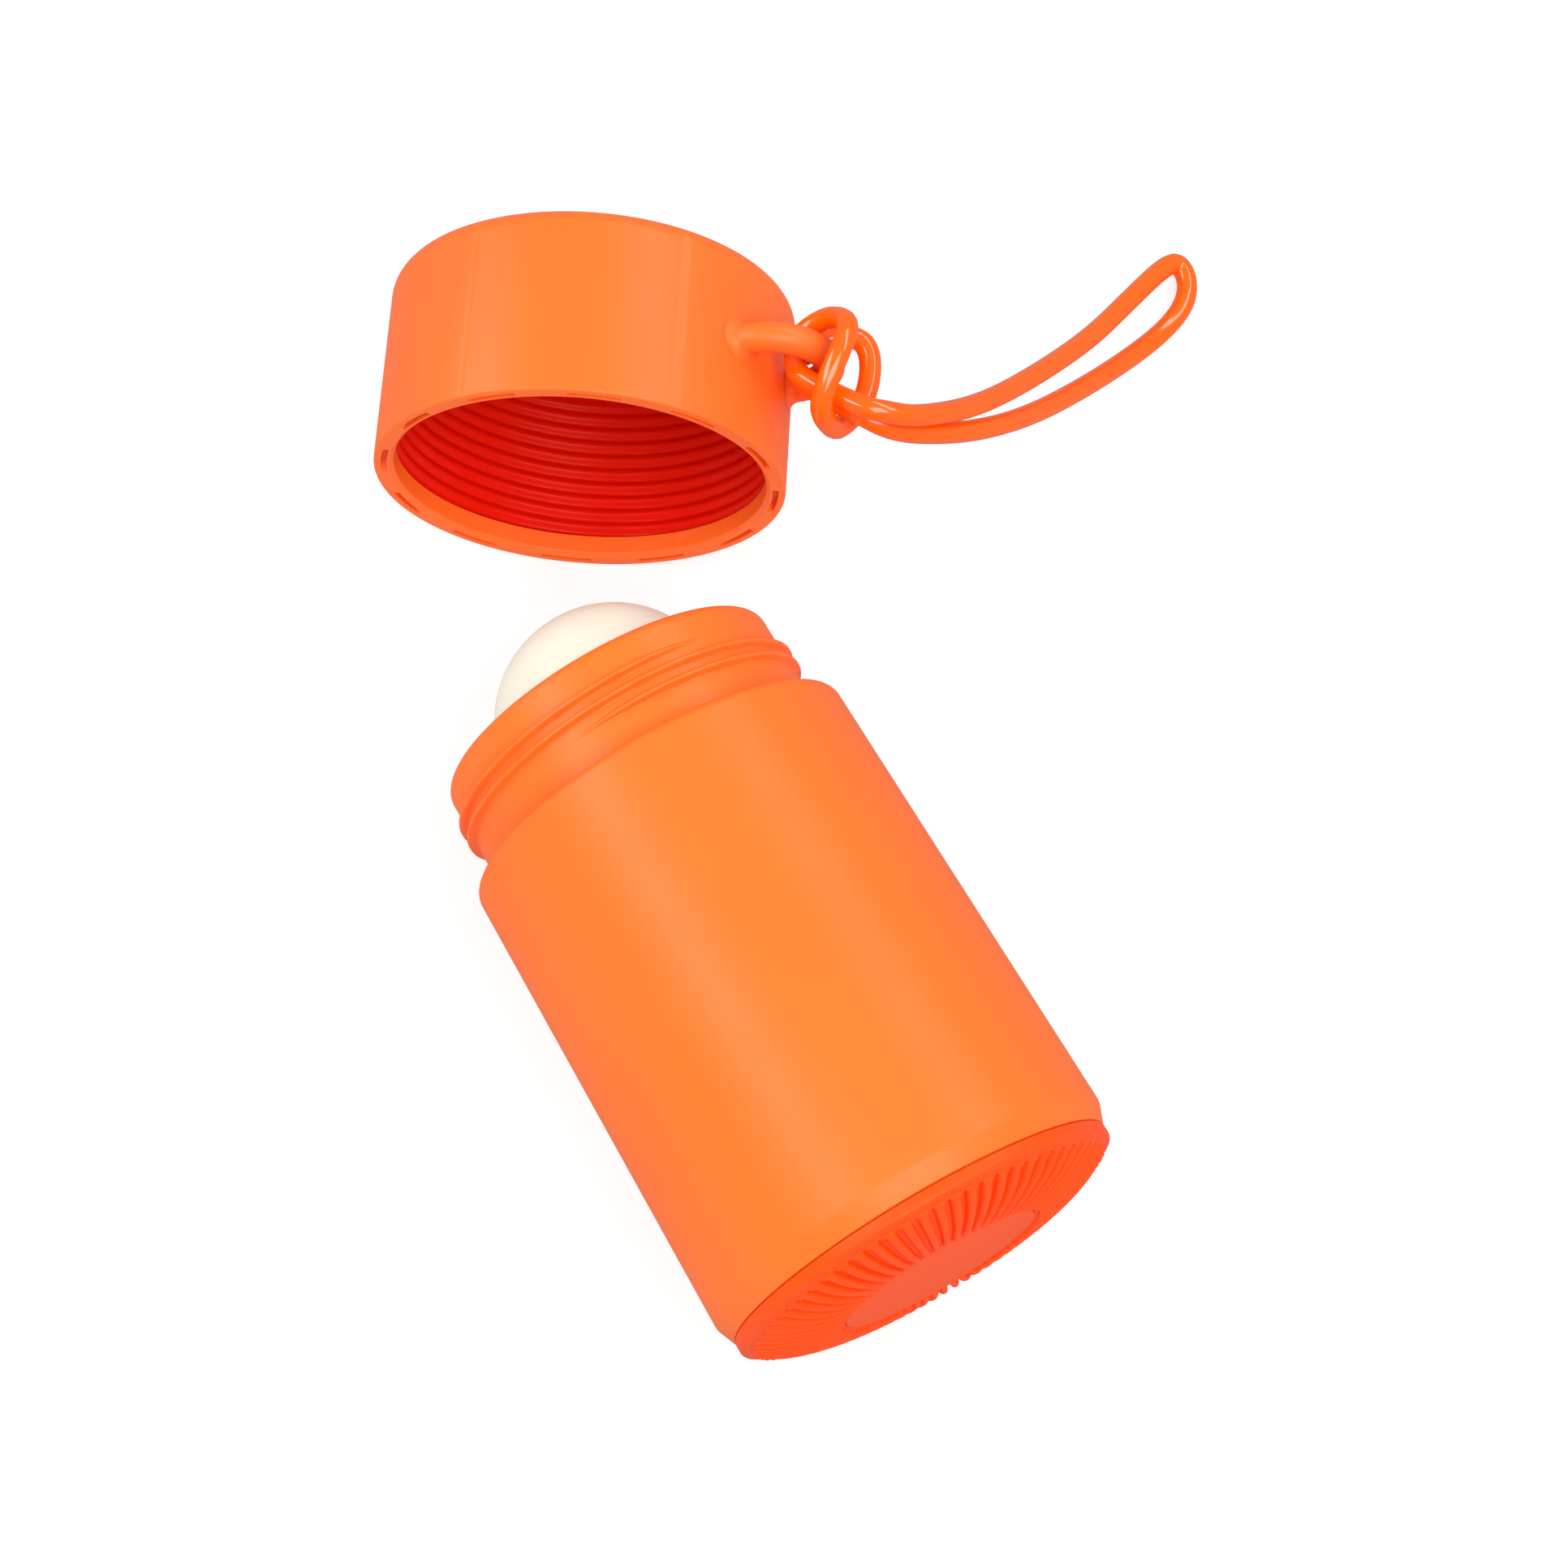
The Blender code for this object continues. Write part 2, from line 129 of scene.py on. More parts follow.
# Cord
CORD_D = 2.7 * MM
CORD_ROUTE_MM = [
    # down through the lug hole and out under the bar
    (30.1, 33.4, 35.6), (29.3, 32.6, 35.6), (29.3, 29.6, 36.5), (32.1, 23.5, 38.4),
    # lower strand of the loop, drooping to the floor
    (34.5, 20.5, 37.3), (38.3, 19.0, 34.5), (46.6, 18.4, 27.8), (57.0, 20.1, 18.8),
    (68.9, 23.5, 9.6), (79.0, 26.6, 3.4), (84.9, 28.4, 1.6),
    # turn at the loop's tip
    (88.7, 30.1, 1.4), (90.9, 32.3, 1.4), (91.6, 34.7, 1.7), (90.0, 36.0, 2.6),
    # upper strand back to the lug
    (80.7, 32.4, 6.2), (71.5, 28.3, 11.6), (58.8, 23.6, 21.2), (47.4, 20.2, 30.6),
    (38.1, 19.4, 38.7), (34.4, 20.8, 41.1),
    # under the bar and up through the hole
    (32.1, 22.7, 41.4), (28.5, 29.4, 39.9), (28.7, 32.2, 38.6),
    # front arm of the hitch, over the bar and down in front of both strands
    (30.9, 35.2, 38.7), (34.3, 35.0, 40.9), (35.4, 32.7, 43.6), (34.5, 30.6, 45.2),
    (32.0, 28.3, 45.7), (28.8, 25.9, 44.1),
    # under the strands
    (27.6, 24.5, 41.8), (28.1, 23.8, 39.3), (29.5, 23.6, 36.0), (31.8, 24.4, 34.5),
    # back arm, up and over the bar to the hole again
    (35.0, 26.0, 34.1), (37.8, 29.2, 34.7), (38.5, 32.3, 35.5), (35.9, 34.5, 35.6),
    (31.8, 34.8, 35.7), (30.4, 33.6, 35.7),
]


# ---------------------------------------------------------------- camera

def add_camera():
    """Looks down from the base's side, 69 degrees above the floor."""
    data = bpy.data.cameras.new("camera")
    data.sensor_width = 36.0
    data.lens = 93.17
    camera = bpy.data.objects.new("camera", data)
    back = Vector((-0.21499, -0.27822, 0.93615)).normalized()
    right = Vector((0.45283, 0.82089, 0.34796)).cross(back).normalized()
    over = back.cross(right)
    turn = Matrix((right, over, back)).transposed().to_4x4()
    camera.matrix_world = Matrix.Translation((-0.10005, -0.14402, 0.47739)) @ turn
    bpy.context.scene.collection.objects.link(camera)
    bpy.context.scene.camera = camera


# ---------------------------------------------------------------- cord

def through(points, steps):
    """Catmull-Rom points through the route, eased a little so that its bend changes evenly."""
    out = []
    last = len(points) - 1
    for i in range(last):
        p0 = points[max(i - 1, 0)]
        p1 = points[i]
        p2 = points[i + 1]
        p3 = points[min(i + 2, last)]
        for j in range(steps):
            t = j / steps
            a = p1 * 2.0
            b = (p2 - p0) * t
            c = (p0 * 2.0 - p1 * 5.0 + p2 * 4.0 - p3) * (t * t)
            d = (p1 * 3.0 - p0 - p2 * 3.0 + p3) * (t * t * t)
            out.append((a + b + c + d) * 0.5)
    out.append(points[last])
    for _ in range(24):
        inner = [(out[i - 1] + out[i] * 2.0 + out[i + 1]) * 0.25 for i in range(1, len(out) - 1)]
        out = [out[0]] + inner + [out[-1]]
    return out


def add_cord(material):
    route = [Vector(point) * MM for point in CORD_ROUTE_MM]
    path = through(route, 12)
    curve = bpy.data.curves.new("cord_line", "CURVE")
    curve.dimensions = "3D"
    curve.bevel_depth = 0.5 * CORD_D
    curve.bevel_resolution = 6
    curve.use_fill_caps = True
    spline = curve.splines.new("POLY")
    spline.points.add(len(path) - 1)
    for point, place in zip(spline.points, path):
        point.co = (place.x, place.y, place.z, 1.0)
    spline.use_smooth = True
    curve.materials.append(material)
    piece = bpy.data.objects.new("cord_line", curve)
    bpy.context.scene.collection.objects.link(piece)
    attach(piece, "cord")
    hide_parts("cord_loop")


# ---------------------------------------------------------------- materials

class Nodes:
    """Short names for a material's node tree."""

    def __init__(self, name):
        self.material = bpy.data.materials.new(name)
        self.material.use_nodes = True
        self.tree = self.material.node_tree
        self.shader = self.tree.nodes["Principled BSDF"]
        self.place = self.tree.nodes.new("ShaderNodeTexCoord").outputs["Object"]

    def link(self, a, b):
        self.tree.links.new(a, b)

    def noise(self, scale, detail=2.0):
        node = self.tree.nodes.new("ShaderNodeTexNoise")
        node.inputs["Scale"].default_value = scale
        node.inputs["Detail"].default_value = detail
        self.link(self.place, node.inputs["Vector"])
        return node.outputs["Fac"]

    def mapped(self, value, low, high):
        node = self.tree.nodes.new("ShaderNodeMapRange")
        node.inputs["From Min"].default_value = 0.3
        node.inputs["From Max"].default_value = 0.7
        node.inputs["To Min"].default_value = low
        node.inputs["To Max"].default_value = high
        self.link(value, node.inputs["Value"])
        return node.outputs["Result"]

    def mixed(self, value, first, second):
        node = self.tree.nodes.new("ShaderNodeMix")
        node.data_type = "RGBA"
        node.inputs[6].default_value = (*first, 1.0)
        node.inputs[7].default_value = (*second, 1.0)
        self.link(value, node.inputs[0])
        return node.outputs[2]

    def bump(self, value, distance, strength):
        node = self.tree.nodes.new("ShaderNodeBump")
        node.inputs["Distance"].default_value = distance
        node.inputs["Strength"].default_value = strength
        self.link(value, node.inputs["Height"])
        self.link(node.outputs["Normal"], self.shader.inputs["Normal"])


def moulded(name, light, deep, smooth, rough, grain=0.25, specular=0.5):
    """Moulded plastic: faint flow in the colour, uneven gloss and a fine spark-eroded grain."""
    n = Nodes(name)
    flow = n.noise(38.0, 3.0)
    n.link(n.mixed(n.mapped(flow, 0.0, 1.0), light, deep), n.shader.inputs["Base Color"])
    n.link(n.mapped(n.noise(160.0), smooth, rough), n.shader.inputs["Roughness"])
    n.shader.inputs["Specular IOR Level"].default_value = specular
    n.bump(n.noise(5200.0, 1.0), 0.00002, grain)
    return n.material


def cord_material():
    """Glossy soft plastic with a faint draw along its skin."""
    n = Nodes("cord_gloss")
    flow = n.mixed(n.noise(60.0), (1.0, 0.125, 0.001), (0.99, 0.115, 0.001))
    n.link(flow, n.shader.inputs["Base Color"])
    n.link(n.mapped(n.noise(120.0), 0.11, 0.13), n.shader.inputs["Roughness"])
    n.shader.inputs["Specular IOR Level"].default_value = 0.7
    return n.material


# ---------------------------------------------------------------- mesh helpers

def bottle_point(radius, azimuth, station):
    x = BALL.x + radius * math.cos(azimuth)
    z = BALL.z + radius * math.sin(azimuth)
    return Vector((x, BALL.y - station, z))


def cap_point(radius, azimuth, height):
    return CAP + CAP_AXIS * height + (CAP_SIDE * math.cos(azimuth) + UP * math.sin(azimuth)) * radius


def arc_corner(before, here, after, fillet, step=math.radians(10.0)):
    a = (before - here).normalized()
    b = (after - here).normalized()
    half = 0.5 * a.angle(b)
    centre = here + (a + b).normalized() * (fillet / math.sin(half))
    start = here + a * (fillet / math.tan(half)) - centre
    sweep = math.pi - 2.0 * half
    sign = math.copysign(1.0, a.y * b.x - a.x * b.y)
    steps = max(2, math.ceil(sweep / step))
    out = []
    for k in range(steps + 1):
        t = sign * sweep * k / steps
        x = start.x * math.cos(t) - start.y * math.sin(t)
        y = start.x * math.sin(t) + start.y * math.cos(t)
        out.append((centre.x + x, centre.y + y))
    return out


def rounded(corners):
    """Outline of (radius, along, fillet) corners, each rounded by its fillet."""
    spots = [Vector((c[0], c[1])) for c in corners]
    out = []
    for i, corner in enumerate(corners):
        if corner[2] <= 0.0:
            out.append((corner[0], corner[1]))
        else:
            out.extend(arc_corner(spots[i - 1], spots[i], spots[(i + 1) % len(spots)], corner[2]))
    return out


def split_wall(outline, radius, step):
    """The outline with its straight wall at this radius cut into short steps."""
    out = []
    for i, (r, s) in enumerate(outline):
        out.append((r, s))
        r2, s2 = outline[(i + 1) % len(outline)]
        if abs(r - radius) < SAME and abs(r2 - radius) < SAME:
            count = max(1, round(abs(s2 - s) / step))
            out.extend((radius, s + (s2 - s) * k / count) for k in range(1, count))
    return out


def add_piece(name, verts, faces, material, body, stands_for, sharp=38.0):
    mesh = bpy.data.meshes.new(name)
    mesh.from_pydata(verts, [], faces)
    bm = bmesh.new()
    bm.from_mesh(mesh)
    bmesh.ops.recalc_face_normals(bm, faces=bm.faces)
    bm.to_mesh(mesh)
    bm.free()
    mesh.shade_smooth()
    mesh.set_sharp_from_angle(angle=math.radians(sharp))
    mesh.materials.append(material)
    piece = bpy.data.objects.new(name, mesh)
    bpy.context.scene.collection.objects.link(piece)
    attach(piece, body)
    if stands_for:
        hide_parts(stands_for)
    return piece


def skin(rows, closed):
    """Faces between neighbouring rows of vertices; a row of one vertex closes on the axis."""
    faces = []
    count = len(rows) if closed else len(rows) - 1
    sides = max(len(row) for row in rows)
    for j in range(count):
        a = rows[j]
        b = rows[(j + 1) % len(rows)]
        if len(a) == 1 and len(b) == 1:
            continue
        for i in range(sides):
            k = (i + 1) % sides
            if len(a) == 1:
                faces.append((a[0], b[i], b[k]))
            elif len(b) == 1:
                faces.append((a[i], b[0], a[k]))
            else:
                faces.append((a[i], b[i], b[k], a[k]))
    return faces


def turned(outline, azimuths, place, closed, shift=None):
    """Vertices and faces of an outline spun round an axis; a zero radius closes on the axis.

    shift(radius, azimuth, along) returns the moved (radius, along).
    """
    verts = []
    rows = []
    for radius, along in outline:
        if radius <= 0.0:
            rows.append([len(verts)])
            verts.append(place(0.0, 0.0, along))
            continue
        row = []
        for azimuth in azimuths:
            row.append(len(verts))
            r, a = shift(radius, azimuth, along) if shift else (radius, along)
            verts.append(place(r, azimuth, a))
        rows.append(row)
    return verts, skin(rows, closed)


def even(sides):
    return [TURN * i / sides for i in range(sides)]


def ease(t):
    t = min(1.0, max(0.0, t))
    return t * t * (3.0 - 2.0 * t)


# ---------------------------------------------------------------- bottle

def neck_ridge(azimuth, station):
    """How far the thread stands out of the neck here."""
    for lap in range(4):
        turns = (azimuth - THREAD_AZ) / TURN + lap
        if not 0.0 <= turns <= THREAD_TURNS:
            continue
        off = abs(station - THREAD_START - THREAD_PITCH * turns)
        fade = ease(min(turns, THREAD_TURNS - turns) / 0.09)
        foot = (0.2 + 0.38 * fade) * MM
        crest = 0.14 * MM * fade
        if off < foot:
            return THREAD_H * fade * ease((foot - off) / (foot - crest))
    return 0.0


def add_sleeve(material):
    outline = rounded([
        (NECK_BORE_R, NECK_TOP, 0.35 * MM),
        (NECK_R, NECK_TOP, 1.45 * MM),
        (NECK_R, SHOULDER, 0.3 * MM),
        (SHOULDER_R, SHOULDER, 1.3 * MM),
        (BASE_R, WALL_END, 2.0 * MM),
        (24.5 * MM, SLEEVE_END, 0.25 * MM),
        (SLEEVE_BORE_R, SLEEVE_END, 0.2 * MM),
        (SLEEVE_BORE_R, SHOULDER + 1.8 * MM, 0.3 * MM),
        (NECK_BORE_R, SHOULDER + 1.8 * MM, 0.3 * MM),
    ])
    outline = split_wall(outline, NECK_R, 0.1 * MM)

    def shift(radius, azimuth, station):
        if abs(radius - NECK_R) < SAME and station < SHOULDER - 0.4 * MM:
            return radius + neck_ridge(azimuth, station), station
        return radius, station

    verts, faces = turned(outline, even(216), bottle_point, True, shift)
    add_piece("sleeve_body", verts, faces, material, "bottle", "outer_sleeve", 50.0)


def cup(station):
    return math.sqrt(CUP_R ** 2 - station ** 2)


def add_housing(material):
    low = -3.8 * MM
    outline = rounded([
        (cup(low), low, 0.0),
        (15.2 * MM, low, 0.4 * MM),
        (18.8 * MM, -2.2 * MM, 0.5 * MM),
        (HOUSING_R, -1.8 * MM, 0.2 * MM),
        (HOUSING_R, 5.7 * MM, 0.2 * MM),
        (17.7 * MM, 5.7 * MM, 0.3 * MM),
        (17.7 * MM, 12.0 * MM, 0.5 * MM),
        (9.2 * MM, 12.0 * MM, 0.3 * MM),
        (cup(11.3 * MM), 11.3 * MM, 0.0),
    ])
    steps = 20
    span = 11.3 * MM - low
    outline += [(cup(low + span * k / steps), low + span * k / steps) for k in range(steps - 1, 0, -1)]
    verts, faces = turned(outline, even(128), bottle_point, True)
    add_piece("housing_cup", verts, faces, material, "refill", "ball_housing")


def add_vessel(material):
    wall = 1.2 * MM
    top = 6.0 * MM
    end = 64.5 * MM
    collar = SHOULDER + 2.2 * MM
    outline = rounded([
        (18.0 * MM, top, 0.2 * MM),
        (HOUSING_R, top, 0.3 * MM),
        (HOUSING_R, collar, 0.3 * MM),
        (VESSEL_R, collar, 0.9 * MM),
        (VESSEL_R, end, 1.1 * MM),
        (0.0, end, 0.0),
        (0.0, end - wall, 0.0),
        (VESSEL_R - wall, end - wall, 0.5 * MM),
        (VESSEL_R - wall, collar + wall, 0.5 * MM),
        (18.0 * MM, collar + wall, 0.4 * MM),
    ])
    verts, faces = turned(outline, even(128), bottle_point, True)
    add_piece("vessel_body", verts, faces, material, "refill", "refill_vessel")


def add_ball(material):
    bm = bmesh.new()
    bmesh.ops.create_icosphere(bm, subdivisions=6, radius=BALL_R)
    verts = [vert.co + BALL for vert in bm.verts]
    faces = [tuple(vert.index for vert in face.verts) for face in bm.faces]
    bm.free()
    add_piece("ball_surface", verts, faces, material, "ball", "roller_ball")


# ---------------------------------------------------------------- base

def rib_crest(radius):
    """Station of a rib's crest: steep at the head, then a slow rise to the pad."""
    t = min(1.0, max(0.0, (HEAD_R - radius) / (HEAD_R - PAD_R)))
    rise = PAD_TOP + CREST_RISE - RIB_FOOT
    bead = 0.3 * MM * math.exp(-((radius - HEAD_R + 0.1 * MM) / (0.32 * MM)) ** 2)
    return RIB_FOOT + rise * math.sin(0.25 * TURN * t) ** 0.62 + bead


def add_base(material):
    """Ten columns a rib: its crest, flanks and foot, and the middle of the groove."""
    across = (-1.0, -0.87, -0.67, -0.37, 0.0, 0.37, 0.67, 0.87, 1.0)
    pitch = TURN / RIBS
    skirt = rounded([
        (0.0, SPIGOT_FLOOR, 0.0),
        (19.0 * MM, SPIGOT_FLOOR, 0.3 * MM),
        (21.3 * MM, SPIGOT_TOP, 0.2 * MM),
        (SPIGOT_R, SPIGOT_TOP, 0.3 * MM),
        (SPIGOT_R, FLANGE_TOP, 0.1 * MM),
        (FLANGE_R, FLANGE_TOP, 0.25 * MM),
        (FLANGE_R, 73.45 * MM, 0.55 * MM),
        (23.75 * MM, RIB_FOOT, 0.0),
    ])
    zone = [23.62, 23.55, 23.47, 23.38, 23.29, 23.2, 23.1, 23.0, 22.9, 22.78, 22.65, 22.5, 22.3]
    zone += [22.3 - 0.35 * k for k in range(1, 26)] + [13.3, 13.14]
    verts = []
    rows = []

    def row(radius, height_at, width):
        cells = []
        for i in range(RIBS):
            for x in across + (None,):
                cells.append(len(verts))
                offset = 0.5 if x is None else x * width
                height = height_at(0.0 if x is None else (1.0 - x * x) ** 0.4)
                verts.append(bottle_point(radius, pitch * (i + 0.5 + offset), height))
        rows.append(cells)

    for radius, station in skirt:
        if radius <= 0.0:
            rows.append([len(verts)])
            verts.append(bottle_point(0.0, 0.0, station))
        else:
            row(radius, lambda lift, s=station: s, 0.27)
    for value in zone:
        radius = value * MM
        inward = (HEAD_R - radius) / (HEAD_R - PAD_R)
        bead = 0.05 * math.exp(-((radius - HEAD_R + 0.1 * MM) / (0.3 * MM)) ** 2)
        rim = ease((23.65 * MM - radius) / (0.35 * MM))
        crest = rib_crest(radius)
        run_in = ease((HEAD_R + 0.2 * MM - radius) / (0.9 * MM))
        foot = crest - GROOVE_DEPTH * (1.0 - 0.45 * inward) * run_in
        foot = max(foot, 73.75 * MM)

        def height_at(lift, rim=rim, foot=foot, crest=crest):
            return RIB_FOOT + rim * (foot - RIB_FOOT) + rim * (crest - foot) * lift

        row(radius, height_at, 0.35 + bead)
    pad_ring = ((13.02, 76.4), (12.96, 76.48), (12.88, 76.5), (12.66, 76.5), (12.6, 76.44),
                (12.6, 75.9))
    for radius, station in pad_ring:
        row(radius * MM, lambda lift, s=station * MM: s, 0.28)
    rows.append([len(verts)])
    verts.append(bottle_point(0.0, 0.0, 75.9 * MM))
    add_piece("base_grip", verts, skin(rows, False), material, "base", "base_foot", 55.0)


def add_disc(material):
    top = PAD_TOP - 0.28 * MM
    back = PAD_TOP - 0.85 * MM
    outline = rounded([
        (0.0, top, 0.0),
        (12.52 * MM, top, 0.14 * MM),
        (12.52 * MM, back, 0.1 * MM),
        (0.0, back, 0.0),
    ])
    verts, faces = turned(outline, even(144), bottle_point, False)
    add_piece("base_disc", verts, faces, material, "base", "base_badge")


# ---------------------------------------------------------------- cap

def slot_azimuths():
    """Even columns, with a second one hard against each end of each slot."""
    hair = math.radians(0.05)
    out = even(192)
    for k in range(SLOTS):
        middle = SLOT_AZ + TURN * k / SLOTS
        out += [(middle - SLOT_HALF - hair) % TURN, (middle + SLOT_HALF + hair) % TURN]
    return sorted(out)


def add_cap_body(material):
    slot_in = 23.6 * MM
    slot_out = 24.3 * MM
    hair = 0.01 * MM
    dimple = 5.2 * MM
    outline = rounded([
        (0.0, CAP_H, 0.0),
        (CAP_TOP_R, CAP_H, 2.7 * MM),
        (CAP_R, 0.0, 0.3 * MM),
        (slot_out + hair, 0.0, 0.0),
        (slot_out, 0.0, 0.0),
        (slot_in, 0.0, 0.0),
        (slot_in - hair, 0.0, 0.0),
        (23.3 * MM, 0.0, 0.15 * MM),
        (LIP_R, 0.55 * MM, 0.3 * MM),
        (LIP_R, 2.9 * MM, 0.2 * MM),
        (24.2 * MM, 2.9 * MM, 0.0),
        (24.1 * MM, CAP_CEILING, 0.3 * MM),
    ])
    for k in range(6, -1, -1):
        radius = dimple * k / 6
        outline.append((radius, CAP_CLOSED + math.sqrt(CUP_R ** 2 - radius ** 2)))

    def shift(radius, azimuth, height):
        on_rim = height == 0.0 and slot_in - 0.1 * hair < radius < slot_out + 0.1 * hair
        part = ((azimuth - SLOT_AZ) * SLOTS / TURN + 0.5) % 1.0 - 0.5
        if on_rim and abs(part) < 0.2505:
            return radius, SLOT_DEPTH
        return radius, height

    verts, faces = turned(outline, slot_azimuths(), cap_point, False, shift)
    add_piece("cap_body", verts, faces, material, "cap", "cap_shell")


def add_lug(material):
    """A half ring whose two feet flare into the cap's wall."""
    flare = 1.1 * MM
    sides = 40
    out = CAP_SIDE * math.cos(LUG_AZ) + UP * math.sin(LUG_AZ)
    side = UP * math.cos(LUG_AZ) - CAP_SIDE * math.sin(LUG_AZ)
    start = CAP + CAP_AXIS * LUG_H
    middle = LUG_REACH - LUG_HALF
    verts = []

    def foot_ring(sign, off):
        """A ring of the flared foot, the same distance off the wall all round."""
        radius = LUG_R + flare - math.sqrt(flare ** 2 - (flare - off) ** 2)
        for k in range(sides):
            turn = TURN * k / sides
            across = sign * (LUG_HALF + radius * math.cos(turn))
            reach = math.sqrt((CAP_R - 0.05 * MM + off) ** 2 - across ** 2)
            verts.append(start + out * reach + side * across + CAP_AXIS * (radius * math.sin(turn)))

    def bar_ring(bend):
        radial = side * math.cos(bend) + out * math.sin(bend)
        for k in range(sides):
            turn = TURN * k / sides
            reach = LUG_HALF + LUG_R * math.cos(turn)
            verts.append(start + out * middle + radial * reach + CAP_AXIS * (LUG_R * math.sin(turn)))

    offsets = [flare * (1.0 - math.cos(0.25 * TURN * k / 8)) for k in range(9)]
    for off in offsets:
        foot_ring(1.0, off)
    first = math.asin((math.sqrt((CAP_R + flare) ** 2 - LUG_HALF ** 2) - middle) / LUG_HALF) + 0.05
    bends = 36
    for k in range(bends + 1):
        bar_ring(first + (0.5 * TURN - 2.0 * first) * k / bends)
    for off in reversed(offsets):
        foot_ring(-1.0, off)
    faces = []
    rings = len(verts) // sides
    for j in range(rings - 1):
        for k in range(sides):
            m = (k + 1) % sides
            faces.append((j * sides + k, j * sides + m, (j + 1) * sides + m, (j + 1) * sides + k))
    last = (rings - 1) * sides
    faces.append(tuple(range(sides)))
    faces.append(tuple(last + k for k in range(sides - 1, -1, -1)))
    add_piece("cap_lug", verts, faces, material, "cap", None, 80.0)


def add_cap_thread(material):
    """One ridge wound from the mouth to the ceiling, right-handed like the neck's."""
    low = 3.2 * MM
    high = 22.4 * MM
    root = LIP_R + RIDGE_H
    outline = [(LINER_R, low), (root, low)]
    count = 128
    outline += [(root, low + (high - low) * k / count) for k in range(1, count)]
    outline += [(root, high), (LINER_R, high)]

    def shift(radius, azimuth, height):
        if radius != root:
            return radius, height
        laps = (height - low - 0.6 * MM) / CAP_PITCH + azimuth / TURN
        wave = 0.5 + 0.5 * math.cos(TURN * laps)
        fade = ease(laps / 0.9) * ease((high - height) / (1.5 * MM))
        return root - RIDGE_H * wave ** 0.8 * fade, height

    verts, faces = turned(outline, even(192), cap_point, True, shift)
    add_piece("cap_thread", verts, faces, material, "cap", "cap_liner", 60.0)


def add_cap_ring(material):
    outline = rounded([
        (9.8 * MM, 22.6 * MM, 0.1 * MM),
        (11.4 * MM, 22.6 * MM, 0.1 * MM),
        (11.4 * MM, 19.3 * MM, 0.25 * MM),
        (10.85 * MM, 19.2 * MM, 0.2 * MM),
        (9.8 * MM, 20.8 * MM, 0.3 * MM),
    ])
    verts, faces = turned(outline, even(96), cap_point, True)
    add_piece("cap_ring", verts, faces, material, "cap_carrier", "cap_seal")


# ---------------------------------------------------------------- studio

def add_floor():
    size = 3.0
    mesh = bpy.data.meshes.new("floor")
    corners = [(-size, -size, 0.0), (size, -size, 0.0), (size, size, 0.0), (-size, size, 0.0)]
    mesh.from_pydata(corners, [], [(0, 1, 2, 3)])
    n = Nodes("floor_white")
    n.shader.inputs["Base Color"].default_value = (0.25, 0.25, 0.25, 1.0)
    n.shader.inputs["Roughness"].default_value = 0.7
    n.shader.inputs["Specular IOR Level"].default_value = 0.1
    n.shader.inputs["Emission Color"].default_value = (1.0, 1.0, 1.0, 1.0)
    n.shader.inputs["Emission Strength"].default_value = 0.76
    mesh.materials.append(n.material)
    floor = bpy.data.objects.new("floor", mesh)
    bpy.context.scene.collection.objects.link(floor)
    floor.visible_glossy = False


def softbox(name, place, width, height, power, long_side=(0.0, 1.0, 0.0)):
    """A rectangular light that faces the object, its height along long_side."""
    data = bpy.data.lights.new(name, "AREA")
    data.shape = "RECTANGLE"
    data.size = width
    data.size_y = height
    data.energy = power
    lamp = bpy.data.objects.new(name, data)
    back = Vector(place).normalized()
    right = Vector(long_side).cross(back).normalized()
    turn = Matrix((right, back.cross(right), back)).transposed().to_4x4()
    lamp.matrix_world = Matrix.Translation(place) @ turn
    bpy.context.scene.collection.objects.link(lamp)


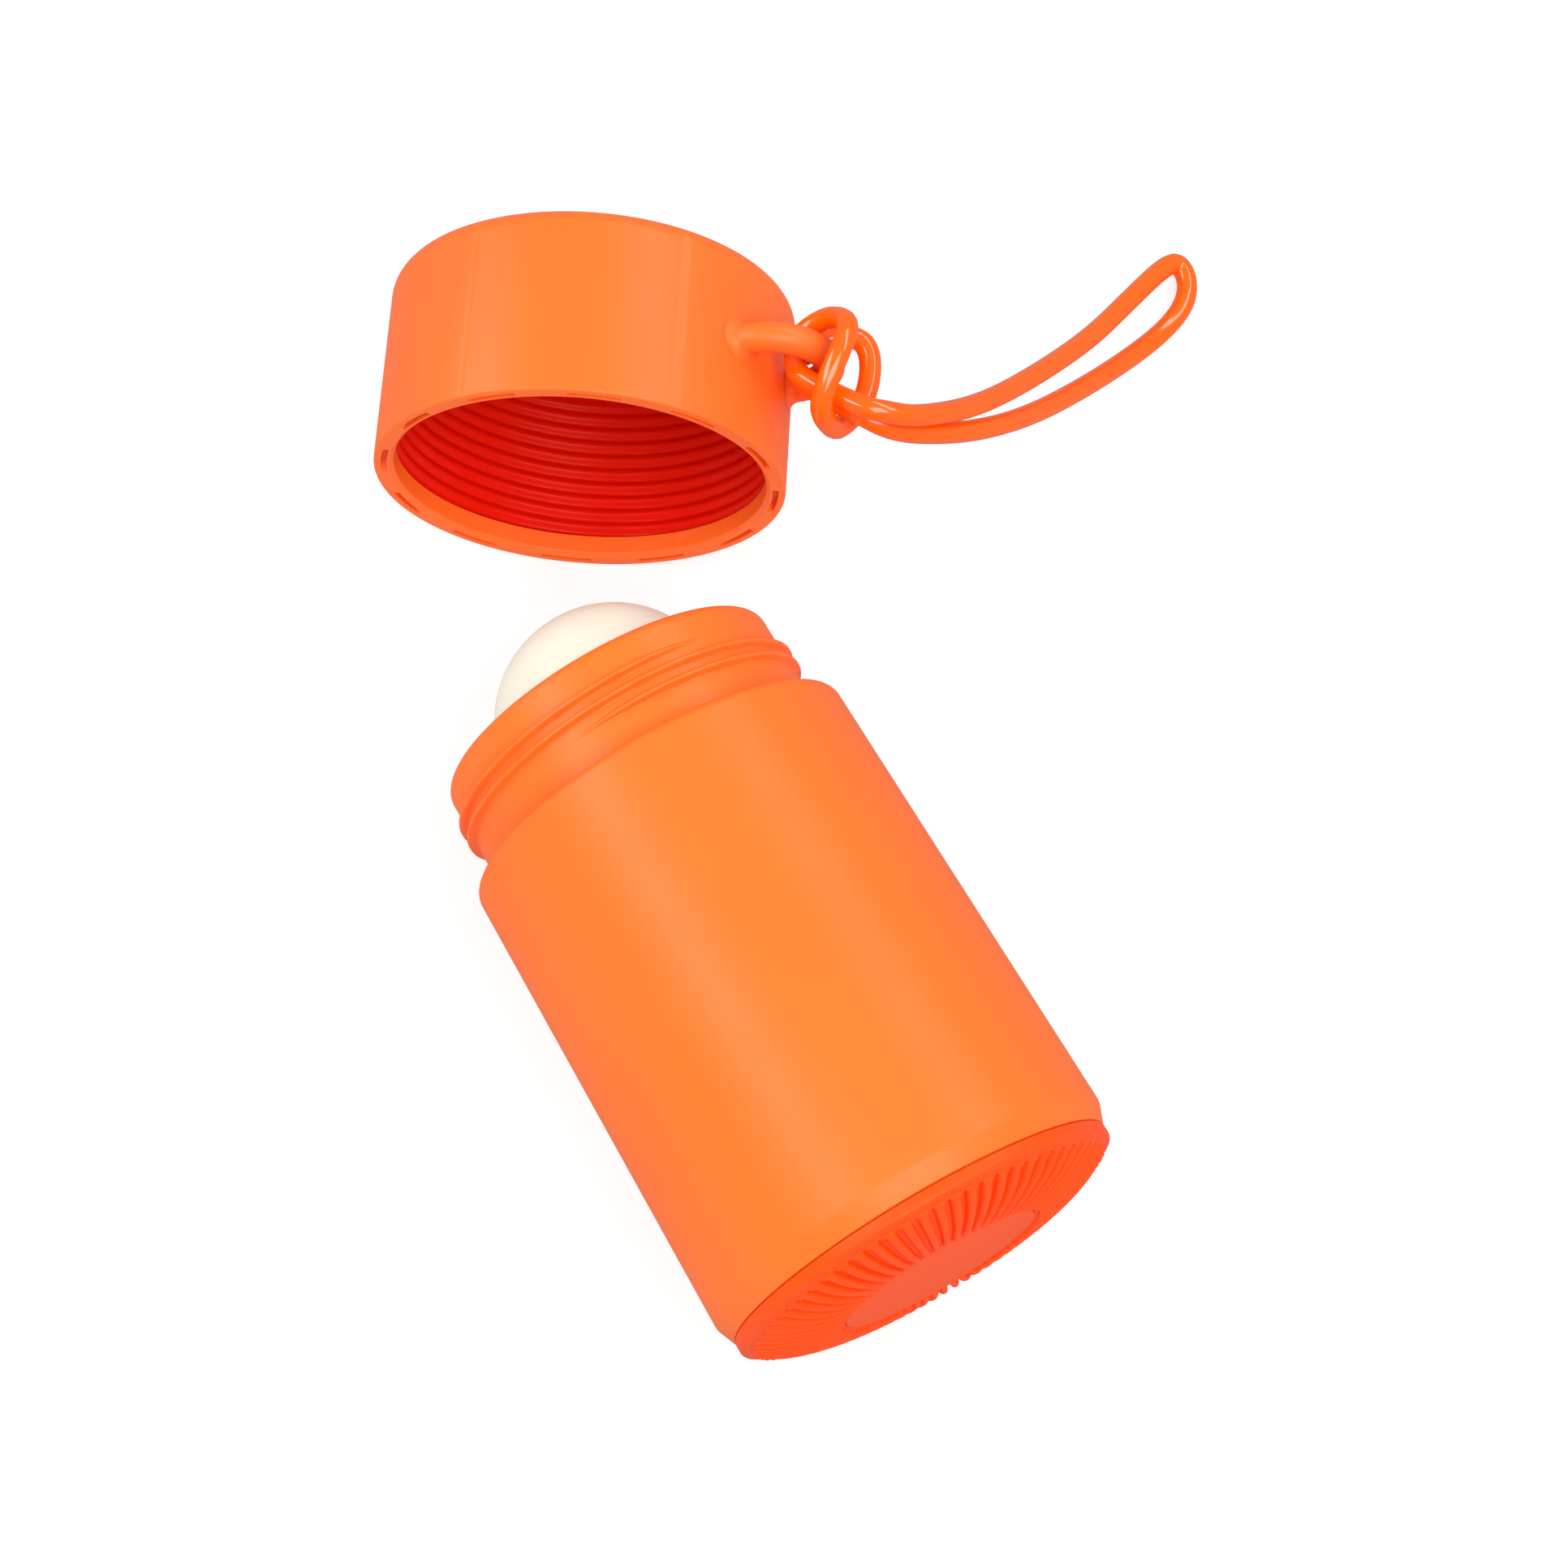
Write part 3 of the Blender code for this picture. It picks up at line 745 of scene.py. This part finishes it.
def add_studio():
    world = bpy.data.worlds.new("studio")
    world.use_nodes = True
    world.node_tree.nodes["Background"].inputs["Color"].default_value = (1.0, 1.0, 1.0, 1.0)
    world.node_tree.nodes["Background"].inputs["Strength"].default_value = 0.3
    bpy.context.scene.world = world
    softbox("front_fill", (0.0, -0.42, 0.8), 0.7, 0.6, 6.6)
    softbox("left_strip", (-0.50, 0.40, 0.62), 0.26, 1.0, 5.2, (0.2, 0.85, -0.5))
    softbox("right_strip", (0.60, 0.12, 0.64), 0.18, 0.9, 2.7)
    bpy.context.scene.view_settings.view_transform = "Standard"


# ---------------------------------------------------------------- make it

def make():
    add_camera()
    add_cord(cord_material())
    add_studio()
    add_floor()
    shell = moulded("shell_orange", (1.0, 0.165, 0.02), (0.99, 0.157, 0.018), 0.37, 0.41, 0.15, 0.24)
    cap = moulded("cap_orange", (1.0, 0.158, 0.02), (0.99, 0.15, 0.018), 0.37, 0.41, 0.15, 0.3)
    # The shell's orange with about half its green for the ribbed base: painted shade of the rib zone.
    base = moulded("base_orange", (1.0, 0.078, 0.004), (0.99, 0.073, 0.003), 0.38, 0.42, 0.15, 0.15)
    # A deeper orange for the disc: painted shade of a face turned away from the light.
    disc = moulded("disc_orange_painted_shade", (1.0, 0.092, 0.01), (0.99, 0.087, 0.009), 0.5, 0.54, 0.15, 0.15)
    # The cap's orange darkened to deep red for its inside and thread: painted shade of the cap's
    # hollow.
    liner = moulded("liner_red_painted_shade", (0.76, 0.009, 0.0004), (0.74, 0.007, 0.0003), 0.3, 0.33, 0.05, 0.1)
    cream = moulded("ball_cream", (0.84, 0.79, 0.66), (0.83, 0.775, 0.64), 0.42, 0.46, 0.05, 0.2)
    white = moulded("housing_white", (0.64, 0.64, 0.61), (0.62, 0.62, 0.59), 0.34, 0.42, 0.15)
    natural = moulded("vessel_natural", (0.6, 0.6, 0.56), (0.57, 0.57, 0.53), 0.3, 0.4, 0.15)
    seal = moulded("seal_natural", (0.64, 0.63, 0.6), (0.62, 0.61, 0.58), 0.45, 0.55, 0.2)
    add_sleeve(shell)
    add_housing(white)
    add_vessel(natural)
    add_ball(cream)
    add_base(base)
    add_disc(disc)
    add_cap_body(cap)
    add_lug(cap)
    add_cap_thread(liner)
    add_cap_ring(seal)


make()
